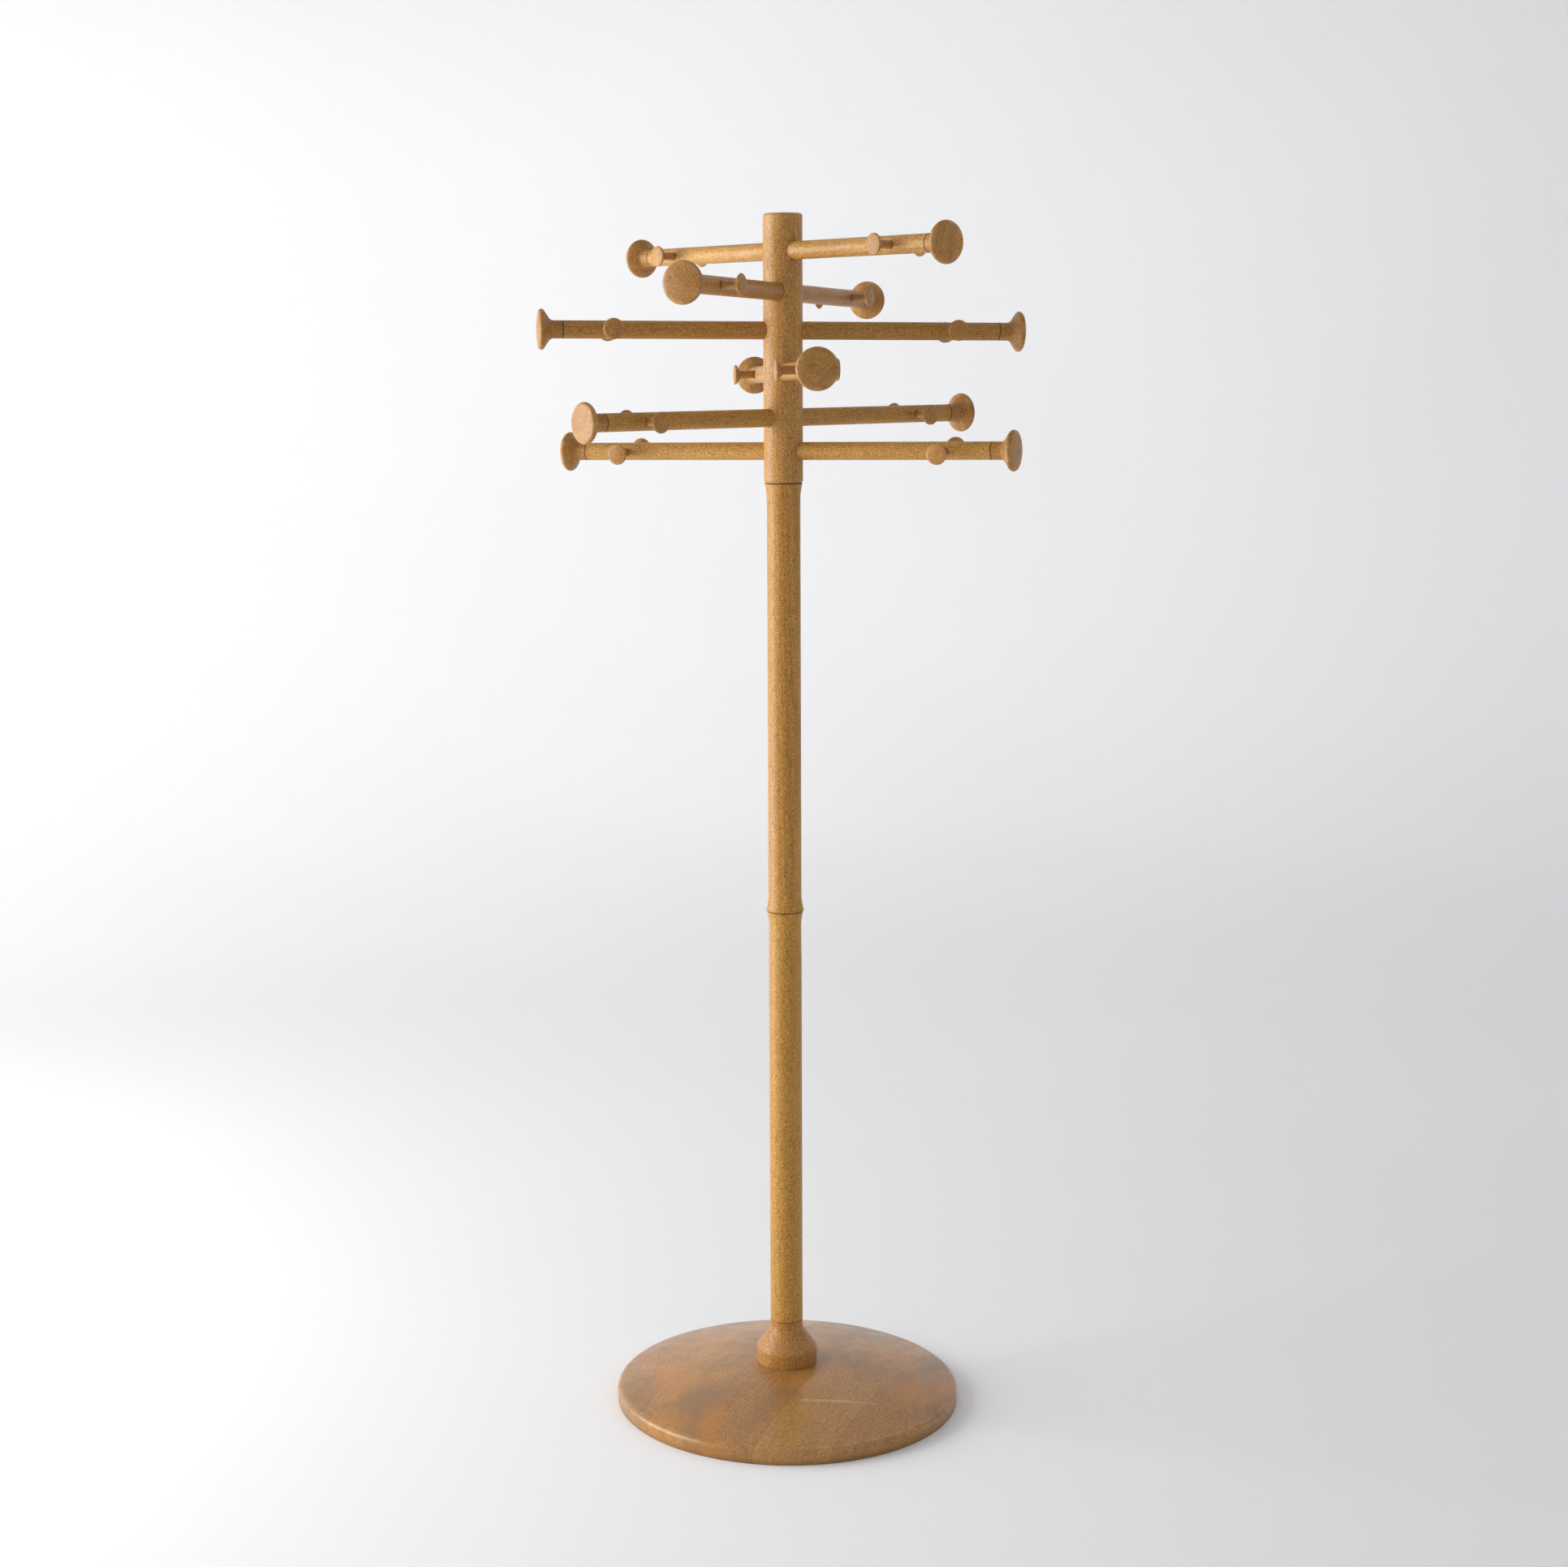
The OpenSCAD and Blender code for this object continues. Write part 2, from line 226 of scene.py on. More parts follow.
beech = dict(
    early=(0.415, 0.200, 0.040, 1), late=(0.280, 0.124, 0.021, 1), pale=(0.620, 0.355, 0.120, 1),
    brown=(0.235, 0.102, 0.020, 1), yellow=(0.500, 0.280, 0.040, 1), red=(0.400, 0.172, 0.054, 1),
    # the last colour below darkens seams, chamfers and bores: dirt together with painted shade
    fleck=(0.130, 0.054, 0.012, 1), worn=(0.640, 0.400, 0.180, 1), grimeAndShade=(0.075, 0.034, 0.012, 1),
    ringWidth=0.0034, ringDepth=0.75, roughness=0.46, coat=0.2, coatRoughness=0.3, gloss=0.35,
)
baseMarks = dict(
    stain=((-0.160, -0.110, 0.05), (-0.130, -0.086, 0.05), 0.050),
    # the pale streak in front of the collar: partly a scuff, partly a painted highlight
    scuffAndHighlight=((0.004, -0.134, 0.047), (0.102, -0.143, 0.039), 0.0050),
    patch=((-0.118, -0.228, 0.04), (-0.022, -0.104, 0.05), 0.024),
    line=((-0.057, -0.242, 0.03), (-0.041, -0.182, 0.04), 0.004),
    angle=57, boardWidth=0.100, offset=-0.058, seamWidth=0.0007,
    orange=(0.47, 0.190, 0.030, 1), grey=(0.19, 0.115, 0.052, 1),
    stainColour=(0.16, 0.115, 0.062, 1), patchColour=(0.20, 0.11, 0.05, 1), scuffAndHighlightColour=(0.62, 0.45, 0.30, 1),
)


def newMaterial(name):
    material = bpy.data.materials.new(name)
    material.use_nodes = True
    tree = material.node_tree
    shader = tree.nodes["Principled BSDF"]
    return material, tree, shader


def beechFinish(name, b, slab=None):
    material, tree, shader = newMaterial(name)
    place = add(tree, "ShaderNodeTexCoord").outputs["Object"]
    grainPlace = add(tree, "ShaderNodeAttribute", attribute_name="grain").outputs["Vector"]
    shade = add(
        tree, "ShaderNodeSeparateXYZ",
        {0: add(tree, "ShaderNodeAttribute", attribute_name="shade").outputs["Vector"]},
    ).outputs
    grain = useGroup(tree, grainGroup, {"Grain": grainPlace, "Ring Width": b["ringWidth"]})
    wearAndShade = useGroup(tree, wearAndShadeGroup, {"Place": place})
    colour = blend(tree, sums(tree, "MULTIPLY", grain["Rings"], b["ringDepth"]), b["early"], b["late"])
    colour = blend(tree, spread(tree, grain["Fibres"], 0.35, 0.65, 0.0, 0.42), colour, b["late"])
    colour = blend(tree, sums(tree, "MAXIMUM", shade["X"], 0.0), colour, b["pale"])
    colour = blend(
        tree, sums(tree, "MAXIMUM", sums(tree, "MULTIPLY", shade["X"], -1.0), 0.0), colour, b["brown"],
    )
    colour = blend(tree, sums(tree, "MAXIMUM", shade["Y"], 0.0), colour, b["yellow"])
    colour = blend(tree, sums(tree, "MAXIMUM", sums(tree, "MULTIPLY", shade["Y"], -1.0), 0.0), colour, b["red"])
    blotch = spread(tree, wearAndShade["Blotches"], 0.3, 0.7)
    colour = blend(tree, sums(tree, "MULTIPLY", blotch, 0.16), colour, b["brown"])
    colour = blend(tree, sums(tree, "MULTIPLY", grain["Flecks"], 0.36), colour, b["fleck"])
    colour = blend(tree, sums(tree, "MULTIPLY", grain["Pores"], 0.30), colour, b["fleck"])
    light = spread(tree, grain["Speckle"], 0.28, 0.72, 0.52, 1.48)
    colour = blend(
        tree, 1.0, colour, add(tree, "ShaderNodeCombineColor", {0: light, 1: light, 2: light}).outputs[0],
        "MULTIPLY",
    )
    if slab:
        colour = markBase(tree, place, colour, b, slab, wearAndShade)
    colour = blend(tree, sums(tree, "MULTIPLY", wearAndShade["Worn"], 0.55), colour, b["worn"])
    # dirt together with painted shade, darkening seams, chamfers and bores
    colour = blend(tree, sums(tree, "MULTIPLY", wearAndShade["Grime And Shade"], 0.85), colour, b["grimeAndShade"])
    tree.links.new(colour, shader.inputs["Base Color"])
    smear = spread(tree, wearAndShade["Smears"], 0.3, 0.7, b["roughness"] - 0.07, b["roughness"] + 0.09)
    rough = sums(
        tree, "ADD", smear, sums(tree, "MULTIPLY", sums(tree, "ADD", wearAndShade["Grime And Shade"], grain["Pores"]), 0.2),
        clamp=True,
    )
    tree.links.new(rough, shader.inputs["Roughness"])
    height = sums(tree, "SUBTRACT", grain["Fibres"], sums(tree, "MULTIPLY", grain["Pores"], 0.7))
    bump = add(tree, "ShaderNodeBump", {"Height": height, "Strength": 0.25, "Distance": 0.0002})
    tree.links.new(bump.outputs[0], shader.inputs["Normal"])
    shader.inputs["Specular IOR Level"].default_value = b["gloss"]
    shader.inputs["Coat Weight"].default_value = b["coat"]
    shader.inputs["Coat Roughness"].default_value = b["coatRoughness"]
    return material


def markBase(tree, place, colour, b, slab, wearAndShade):
    # glue lines between the boards, then the marks of use on top; the pale streak among them is partly a scuff and
    # partly a painted highlight
    across = add(
        tree, "ShaderNodeMapping", {"Vector": place, "Rotation": (0, 0, math.radians(-slab["angle"]))},
    ).outputs[0]
    away = add(tree, "ShaderNodeSeparateXYZ", {0: across}).outputs["Y"]
    step = sums(tree, "DIVIDE", sums(tree, "SUBTRACT", away, slab["offset"]), slab["boardWidth"])
    near = sums(tree, "ABSOLUTE", sums(tree, "SUBTRACT", step, sums(tree, "ROUND", step)))
    seam = spread(
        tree, near, 0.3 * slab["seamWidth"] / slab["boardWidth"], 1.6 * slab["seamWidth"] / slab["boardWidth"],
        0.38, 0.0,
    )
    colour = blend(tree, seam, colour, b["fleck"])
    masks = {}
    for mark in ("stain", "scuffAndHighlight", "patch", "line"):
        start, end, width = slab[mark]
        masks[mark] = useGroup(
            tree, markGroup, {"Place": place, "From": start, "To": end, "Width": width, "Ragged": 1.1},
        )["Mask"]
    orange = spread(
        tree, noise(tree, stretched(tree, across, (5.0, 9.0, 5.0)), 1.0, 4, 0.62), 0.44, 0.60, 0.0, 0.60,
    )
    colour = blend(tree, orange, colour, slab["orange"])
    grey = spread(
        tree, noise(tree, stretched(tree, across, (7.0, 14.0, 7.0)), 1.0, 4, 0.6), 0.48, 0.66, 0.0, 0.50,
    )
    colour = blend(tree, grey, colour, slab["grey"])
    colour = blend(tree, sums(tree, "MULTIPLY", masks["stain"], 0.58), colour, slab["stainColour"])
    colour = blend(tree, sums(tree, "MULTIPLY", masks["patch"], 0.34), colour, slab["patchColour"])
    colour = blend(tree, sums(tree, "MULTIPLY", masks["line"], 0.4), colour, b["fleck"])
    # pale streak, partly a scuff and partly a painted highlight
    broken = sums(tree, "MULTIPLY", masks["scuffAndHighlight"], spread(tree, wearAndShade["Smears"], 0.36, 0.54, 0.10, 0.42))
    return blend(tree, broken, colour, slab["scuffAndHighlightColour"])


def metalFinish(name, colour, dark, roughness, streak):
    material, tree, shader = newMaterial(name)
    place = add(tree, "ShaderNodeTexCoord").outputs["Object"]
    wearAndShade = useGroup(tree, wearAndShadeGroup, {"Place": place, "Break Up": 300.0})
    turned = noise(tree, stretched(tree, place, streak), 1.0, 2)
    base = blend(tree, spread(tree, turned, 0.35, 0.65, 0.0, 0.5), colour, dark)
    # dirt together with painted shade where the attribute is below 0
    base = blend(tree, sums(tree, "MULTIPLY", wearAndShade["Grime And Shade"], 0.6), base, (0.03, 0.025, 0.02, 1))
    tree.links.new(base, shader.inputs["Base Color"])
    tree.links.new(
        spread(tree, wearAndShade["Smears"], 0.3, 0.7, roughness - 0.08, roughness + 0.12), shader.inputs["Roughness"],
    )
    bump = add(tree, "ShaderNodeBump", {"Height": turned, "Strength": 0.2, "Distance": 0.0001})
    tree.links.new(bump.outputs[0], shader.inputs["Normal"])
    shader.inputs["Metallic"].default_value = 1.0
    return material


paleBeech = dict(
    beech, early=(0.540, 0.258, 0.050, 1), late=(0.365, 0.160, 0.026, 1), brown=(0.300, 0.128, 0.023, 1),
    yellow=(0.600, 0.335, 0.045, 1),
)
turnedBeech = beechFinish("lacquered beech", paleBeech)
baseBeech = beechFinish(
    "lacquered beech base",
    dict(beech, ringWidth=0.0048, ringDepth=0.25, roughness=0.42, coat=0.5, coatRoughness=0.2), baseMarks,
)
zincSteel = metalFinish(
    "zinc plated steel", (0.56, 0.57, 0.58, 1), (0.36, 0.37, 0.39, 1), 0.34, (300, 300, 2600),
)
plainBrass = metalFinish("plain brass", (0.72, 0.50, 0.20, 1), (0.50, 0.33, 0.12, 1), 0.36, (300, 300, 2600))
print("stage 3: finishes made")


def arc(x, z, r, start, end, steps, rubAndShade=0.0):
    # points of an arc in the outline's plane, angles in degrees from +X
    turns = [math.radians(start + (end - start) * k / steps) for k in range(steps + 1)]
    return [(x + r * math.cos(t), z + r * math.sin(t), rubAndShade) for t in turns]


def turnPiece(outline, steps=96):
    # spins an outline of (radius, height, rub) in millimetres round Z
    bm = bmesh.new()
    rubAndShade = bm.verts.layers.float.new("rubAndShade")
    line = []
    for r, z, *mark in outline:
        v = bm.verts.new((r * mm, 0, z * mm))
        v[rubAndShade] = mark[0] if mark else 0.0
        line.append(v)
    for a, b in zip(line, line[1:]):
        bm.edges.new((a, b))
    bmesh.ops.spin(
        bm, geom=bm.verts[:] + bm.edges[:], axis=(0, 0, 1), angle=math.tau, steps=steps, use_merge=True,
    )
    bmesh.ops.remove_doubles(bm, verts=bm.verts[:], dist=2e-6)
    bmesh.ops.recalc_face_normals(bm, faces=bm.faces[:])
    return bm


def looseObject(bm, name):
    mesh = bpy.data.meshes.new(name)
    bm.to_mesh(mesh)
    bm.free()
    obj = bpy.data.objects.new(name, mesh)
    scene.collection.objects.link(obj)
    return obj


def drill(bm, cutter):
    # cuts the cutter's shape out of a piece and gives the piece back
    work, tool = looseObject(bm, "work"), looseObject(cutter, "tool")
    cut = work.modifiers.new("cut", "BOOLEAN")
    cut.operation, cut.solver, cut.object = "DIFFERENCE", "EXACT", tool
    done = work.evaluated_get(bpy.context.evaluated_depsgraph_get())
    result = bmesh.new()
    result.from_mesh(done.to_mesh())
    done.to_mesh_clear()
    bpy.data.objects.remove(work)
    bpy.data.objects.remove(tool)
    return result


def rods(places, radius, length, segments=48):
    # straight rods for drilling, each along its place's own Z
    bm = bmesh.new()
    for place in places:
        bmesh.ops.create_cone(
            bm, cap_ends=True, segments=segments, radius1=radius * mm, radius2=radius * mm, depth=length * mm,
            matrix=place @ Matrix.Translation((0, 0, length * mm / 2)),
        )
    return bm


def finishPiece(
    bm, node, body, material, place=Matrix(), grainTurn=Matrix(), seed=0, shade=(0, 0), pith=0.05,
):
    # writes the wood's own coordinates and shade, moves the piece to its place and stands it in for its node
    grain = bm.verts.layers.float_vector.new("grain")
    shades = bm.verts.layers.float_vector.new("shade")
    turnAbout = seed * 2.39996
    shift = Vector((pith * math.cos(turnAbout), pith * math.sin(turnAbout), seed * 0.37))
    for v in bm.verts:
        v[grain] = grainTurn @ v.co + shift
        v[shades] = Vector((shade[0], shade[1], 0))
    bm.transform(place)
    for f in bm.faces:
        f.smooth = True
    for e in bm.edges:
        e.smooth = e.calc_face_angle(0.0) < math.radians(38)
    obj = looseObject(bm, node + "_turned")
    obj.data.materials.append(material)
    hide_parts(node)
    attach(obj, body)
    return obj


def middleOf(node):
    low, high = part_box(node)
    return (low + high) / 2


base = dict(
    rimHeight=23, rimRound=7, landing=56, footRound=2, boardWidth=100, angle=57, offset=-58, screwAt=26,
    screwHole=5.4, headHole=10.4, headDepth=9.5,
    shades=[(-0.10, -0.30), (0.14, -0.05), (-0.14, -0.30), (0.12, -0.10), (-0.05, -0.40)],
)


def baseOutline(b, radius):
    rise = b["landing"] + 1 - b["rimHeight"]
    inner = radius - b["rimRound"]
    dome = (inner**2 + (rise + b["rimRound"]) ** 2 - b["rimRound"] ** 2) / (2 * rise)
    middle = b["landing"] + 1 - dome
    rimMiddle = b["rimHeight"] - b["rimRound"]
    meet = math.degrees(math.atan2(rimMiddle - middle, inner))
    landingRadius = math.sqrt(dome**2 - (b["landing"] - middle) ** 2)
    flat = math.degrees(math.atan2(b["landing"] - middle, landingRadius))
    outline = [(0, 0), (60, 0), (radius * 0.6, 0), (radius - 9, 0)]
    # the foot's lower round is darkened where it meets the floor: dirt together with painted shade
    outline += arc(radius - b["footRound"], b["footRound"], b["footRound"], -90, 0, 5, -0.4)
    outline += [(radius, 7)]
    outline += arc(inner, rimMiddle, b["rimRound"], 0, meet, 10, 0.4)
    outline += arc(0, middle, dome, meet + 0.3, flat, 30)
    return outline + [(b["screwAt"] + 6, b["landing"]), (0, b["landing"])]


def makeBase(b):
    boards = ["base_board_%d" % (k + 1) for k in range(len(b["shades"]))]
    radius = max(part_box(node)[1].x for node in boards) / mm
    disc = turnPiece(baseOutline(b, radius), 192)
    wayOut = turn(b["angle"], "Z")
    across = wayOut @ Vector((0, 1, 0))
    lengthUp = Matrix(((0, 1, 0, 0), (0, 0, 1, 0), (1, 0, 0, 0), (0, 0, 0, 1))) @ wayOut.inverted()
    for k, node in enumerate(boards):
        bm = disc.copy()  # every board is the whole disc cut down to its own strip
        for side, cut in ((-1, k - 1), (1, k)):
            if (k == 0 and side == -1) or (k == len(boards) - 1 and side == 1):
                continue
            edge = across * (b["offset"] + (cut - 1) * b["boardWidth"]) * mm
            parts = bm.verts[:] + bm.edges[:] + bm.faces[:]
            made = bmesh.ops.bisect_plane(
                bm, geom=parts, dist=1e-7, plane_co=edge, plane_no=across * side, clear_outer=True,
            )
            rim = [e for e in made["geom_cut"] if isinstance(e, bmesh.types.BMEdge)]
            bmesh.ops.contextual_create(bm, geom=rim)
        bmesh.ops.triangulate(bm, faces=[f for f in bm.faces if len(f.verts) > 4])
        bmesh.ops.recalc_face_normals(bm, faces=bm.faces[:])
        if k == len(boards) // 2:  # the middle board carries the collar's screws
            spots = [
                turn(90 + n * 120, "Z") @ Matrix.Translation((b["screwAt"] * mm, 0, -0.001))
                for n in range(3)
            ]
            holes = rods(spots, b["screwHole"] / 2, b["landing"] + 2)
            wide = rods(spots, b["headHole"] / 2, b["headDepth"])
            bm = drill(drill(bm, holes), wide)
        finishPiece(
            bm, node, "foot", baseBeech, Matrix(), lengthUp, seed=k + 3, shade=b["shades"][k],
            pith=0.09,
        )
    disc.free()


makeBase(base)
print("stage 4: base boards made")

joints = dict(
    studRadius=6, studRoot=40, insertRadius=9.05, insertDepth=20, boreDepth=26, boreRadius=7, edge=0.8,
)
collar = dict(radius=44.5, shoulder=10, slope=37, cove=22, neck=23.7, neckLength=6, shade=(-0.06, -0.22))
posts = dict(
    radius=23.7, waist=23.2, lowerTop=25.9, middleBottom=27.1, middleTop=26.5, flare=24, taper=60,
    lowerShade=(-0.02, 0.38), middleShade=(0.0, 0.18),
)


def boreBelow(z, j):
    # from the axis down the stepped bore for the brass insert to the piece's lower face; its walls are darkened with
    # dirt and painted shade
    return [
        (0, z + j["boreDepth"], -1), (j["boreRadius"], z + j["boreDepth"], -1),
        (j["boreRadius"], z + j["insertDepth"], -1),
        (j["insertRadius"], z + j["insertDepth"], -1), (j["insertRadius"], z + 0.6, -1),
        (j["insertRadius"] + 0.6, z, -0.6),
    ]


def boreAbove(z, j):
    # from the upper face into the bore that the stud is glued in; its walls are darkened with dirt and painted shade
    return [
        (j["studRadius"] + 0.7, z, -0.5), (j["studRadius"] + 0.05, z - 0.65, -1),
        (j["studRadius"] + 0.05, z - j["studRoot"], -1),
        (0, z - j["studRoot"], -1),
    ]


def seamUp(r, z, edge, dirtAndShade=1.0):
    # outline of a lower edge: dirt and painted shade in its chamfer, a little polish above it
    return [
        (r - edge - 3, z), (r - edge - 0.4, z, -0.8 * dirtAndShade), (r - edge, z, -dirtAndShade),
        (r - 0.15, z + edge - 0.15, -0.9 * dirtAndShade),
        (r, z + edge + 0.15, -0.5 * dirtAndShade), (r, z + edge + 1.2, 0.12), (r, z + edge + 3, 0),
    ]


def seamDown(r, z, edge, dirtAndShade=1.0):
    return [(x, 2 * z - y, *rubAndShade) for x, y, *rubAndShade in reversed(seamUp(r, z, edge, dirtAndShade))]


def flareArc(r, rEnd, z, height, steps=10):
    # hollow flare from radius r at z to rEnd at z + height, height below zero for a flare that opens downwards
    gap = rEnd - r
    hollow = (height**2 + gap**2) / (2 * gap)
    reach = math.degrees(math.asin(abs(height) / hollow))
    sign = 1 if height > 0 else -1
    return arc(r + hollow, z, hollow, 180, 180 - sign * reach, steps)


def between(z0, z1, gap=60):
    count = max(1, round(abs(z1 - z0) / gap))
    return [z0 + (z1 - z0) * k / count for k in range(1, count)]


def makeCollar(c, j):
    low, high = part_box("foot_collar")
    z, top = low.z / mm, high.z / mm
    slope = math.radians(c["slope"])
    shoulderX, coveX, coveZ = c["radius"] - c["shoulder"], c["neck"] + c["cove"], top - c["neckLength"]
    fall = (shoulderX + (c["shoulder"] + c["cove"]) * math.cos(slope) - coveX) / math.tan(slope)
    shoulderZ = coveZ - (c["shoulder"] + c["cove"]) * math.sin(slope) - fall
    # the bottom edge on the base is slightly darkened: dirt together with painted shade at the contact
    outline = [
        (0, z), (c["radius"] - 0.25, z, -0.15), (c["radius"], z + 0.25, -0.1), (c["radius"], z + 2.4, 0.05),
    ]
    outline += [(c["radius"], shoulderZ - 4)] + arc(shoulderX, shoulderZ, c["shoulder"], 0, c["slope"], 10, 0.2)
    outline += arc(coveX, coveZ, c["cove"], 180 + c["slope"], 180, 12)
    outline += seamDown(c["neck"], top, j["edge"], 0.55)[1:] + boreAbove(top, j)
    bm = turnPiece(outline, 128)
    finishPiece(bm, "foot_collar", "foot", turnedBeech, seed=1, shade=c["shade"], pith=0.03)


def makePosts(p, j):
    z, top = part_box("lower_post")[0].z / mm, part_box("lower_post")[1].z / mm
    flareZ = top - j["edge"] - p["flare"]
    outline = boreBelow(z, j) + seamUp(p["radius"], z, j["edge"], 0.55)
    outline += [(p["radius"], h) for h in between(z, flareZ - p["taper"])] + [
        (p["radius"], flareZ - p["taper"])
    ]
    outline += flareArc(p["waist"], p["lowerTop"], flareZ, p["flare"])[:-1]
    outline += seamDown(p["lowerTop"], top, j["edge"])[1:] + boreAbove(top, j)
    finishPiece(
        turnPiece(outline), "lower_post", "lower_section", turnedBeech, seed=2,
        shade=p["lowerShade"], pith=0.06,
    )
    z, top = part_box("middle_post")[0].z / mm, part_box("middle_post")[1].z / mm
    outline = boreBelow(z, j) + seamUp(p["middleBottom"], z, j["edge"])[:-1]
    outline += flareArc(p["radius"], p["middleBottom"], z + j["edge"] + p["flare"], -p["flare"])[-2::-1]
    low, high = z + j["edge"] + p["flare"], top - j["edge"] - p["flare"]
    outline += [(p["radius"], h) for h in between(low, high)]
    outline += flareArc(p["radius"], p["middleTop"], high, p["flare"])[:-1]
    outline += seamDown(p["middleTop"], top, j["edge"])[1:] + boreAbove(top, j)
    finishPiece(
        turnPiece(outline), "middle_post", "middle_section", turnedBeech, seed=5,
        shade=p["middleShade"], pith=0.06,
    )


makeCollar(collar, joints)
makePosts(posts, joints)
print("stage 5: collar and posts made")

head = dict(radius=27.5, bottom=26.5, round=4, lead=3, armRoom=0.2, shade=(0.22, 0.05))
arms = dict(
    radius=12.5, reach=337, pegAt=241, edge=0.6,
    turns=[-60, 59.5, 1.5, -91, 30.5, -31.5], tilts=[-0.6, -0.6, -0.7, 0.6, 0.3, 0.3],
    rolls=[0, -0.5, -1, 0, 1.5, 5],
    shades=[(0.34, 0.22), (0.02, -0.30), (-0.30, 0.10), (0.10, 0.20), (-0.16, 0.16), (0.22, 0.24)],
)


def armPlace(i, a):
    level = Matrix.Translation((0, 0, middleOf("arm_%d" % (i + 1)).z))
    return level @ turn(a["turns"][i], "Z") @ turn(-a["tilts"][i], "Y") @ turn(a["rolls"][i], "X")


def alongArm(i, e, a):
    return armPlace(i, a) @ turn(180 * e, "Z") @ turn(90, "Y")


def acrossArm(i, e, s, a):
    out = Matrix.Translation(((1 - 2 * e) * a["pegAt"] * mm, 0, 0))
    return armPlace(i, a) @ out @ turn(90 if s == 0 else -90, "X")


def makeHead(h, j, a):
    z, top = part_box("head")[0].z / mm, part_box("head")[1].z / mm
    outline = boreBelow(z, j) + seamUp(h["bottom"], z, j["edge"])[:-1]
    outline += [(h["radius"], z + h["lead"])] + [(h["radius"], y) for y in between(z, top - h["round"], 40)]
    outline += arc(h["radius"] - h["round"], top - h["round"], h["round"], 0, 90, 8, 0.5)
    outline += [(h["radius"] - h["round"] - 2, top), (0, top)]
    bm = turnPiece(outline)
    for i in range(6):
        bm = drill(
            bm,
            rods([alongArm(i, 0, a) @ Matrix.Translation((0, 0, -0.06))], a["radius"] + h["armRoom"], 120, 64),
        )
    finishPiece(bm, "head", "head_section", turnedBeech, seed=8, shade=h["shade"], pith=0.045)


makeHead(head, joints, arms)
print("stage 6: head made")

knob = dict(diameter=56, dome=6.5, rim=4.4, seam=29.5, slope=56, cove=8, edge=0.6, wornRim=0.55, wornFace=0.18)
peg = dict(
    diameter=29, neck=11.5, dome=3.2, rim=2.2, reach=40, slope=52, cove=5, root=3, holeFrom=2.5, wornRim=0.5,
    wornFace=0.12,
)


def mushroom(m, neck, backPart):
    # outline of a turned mushroom with its rim at height 0: back part, hollow, sloping back, rim, domed face
    rimX = m["diameter"] / 2 - m["rim"]
    slope = math.radians(m["slope"])
    lowX, lowZ = rimX + m["rim"] * math.cos(slope), -m["rim"] * math.sin(slope)
    corner = lowZ - (lowX - neck) / math.tan(slope)
    leg = m["cove"] * math.tan(slope / 2)
    face = (rimX**2 + m["dome"] ** 2 - m["rim"] ** 2) / (2 * (m["dome"] - m["rim"]))
    meet = math.degrees(math.atan2(face - m["dome"], rimX))
    outline = backPart + arc(neck + m["cove"], corner - leg, m["cove"], 180, 180 - m["slope"], 8)
    outline += arc(rimX, 0, m["rim"], -m["slope"], meet, 9, m["wornRim"])
    return outline + arc(0, m["dome"] - face, face, meet + 1.5, 90, 12, m["wornFace"])


def makeArm(i, a, k, p):
    half = a["reach"] - k["seam"]
    # the arm's end chamfer is darkened at the knob: dirt together with painted shade
    end = [
        (0, half), (a["radius"] - a["edge"] - 0.3, half, -1), (a["radius"] - a["edge"], half, -1),
        (a["radius"], half - a["edge"], -0.85),
    ]
    end += [(a["radius"], half - 1.3, -0.1), (a["radius"], half - 3)]
    middle = [(a["radius"], z) for z in between(-half, half, 50)]
    outline = [(r, -z, *rubAndShade) for r, z, *rubAndShade in end] + middle + end[::-1]
    bm = turnPiece(outline, 64)
    level = alongArm(i, 0, a).inverted()
    holes = [
        level @ acrossArm(i, e, s, a) @ Matrix.Translation((0, 0, p["holeFrom"] * mm))
        for e in (0, 1) for s in (0, 1)
    ]
    bm = drill(bm, rods(holes, p["neck"] / 2 + 0.12, 20, 40))
    finishPiece(
        bm, "arm_%d" % (i + 1), "head_section", turnedBeech, alongArm(i, 0, a), seed=11 + i,
        shade=a["shades"][i], pith=0.03,
    )


def makeKnob(i, e, a, k):
    # the knob's back chamfer is darkened at the arm: dirt together with painted shade
    back = [
        (0, -k["seam"]), (a["radius"] - k["edge"] - 0.3, -k["seam"], -1),
        (a["radius"] - k["edge"], -k["seam"], -1),
    ]
    back += [
        (a["radius"], -k["seam"] + k["edge"], -0.85), (a["radius"], -k["seam"] + 1.3, -0.1),
        (a["radius"], -k["seam"] + 3),
    ]
    bm = turnPiece(mushroom(k, a["radius"], back), 96)
    place = alongArm(i, e, a) @ Matrix.Translation((0, 0, a["reach"] * mm))
    tone = math.sin(7.3 * i + 3.1 * e)
    # the fixed -0.30 darkens every knob as painted shade, since their faces get less light than the arms; the rest is
    # each knob's own tone
    shade = (
        a["shades"][i][0] * 0.4 - 0.30 + 0.10 * tone,
        a["shades"][i][1] * 0.4 - 0.16 + 0.1 * math.cos(5.7 * i + 2 * e),
    )
    node = "end_knob_%d%s" % (i + 1, "ab"[e])
    finishPiece(
        bm, node, "head_section", turnedBeech, place, seed=20 + 2 * i + e, shade=shade, pith=0.025,
    )


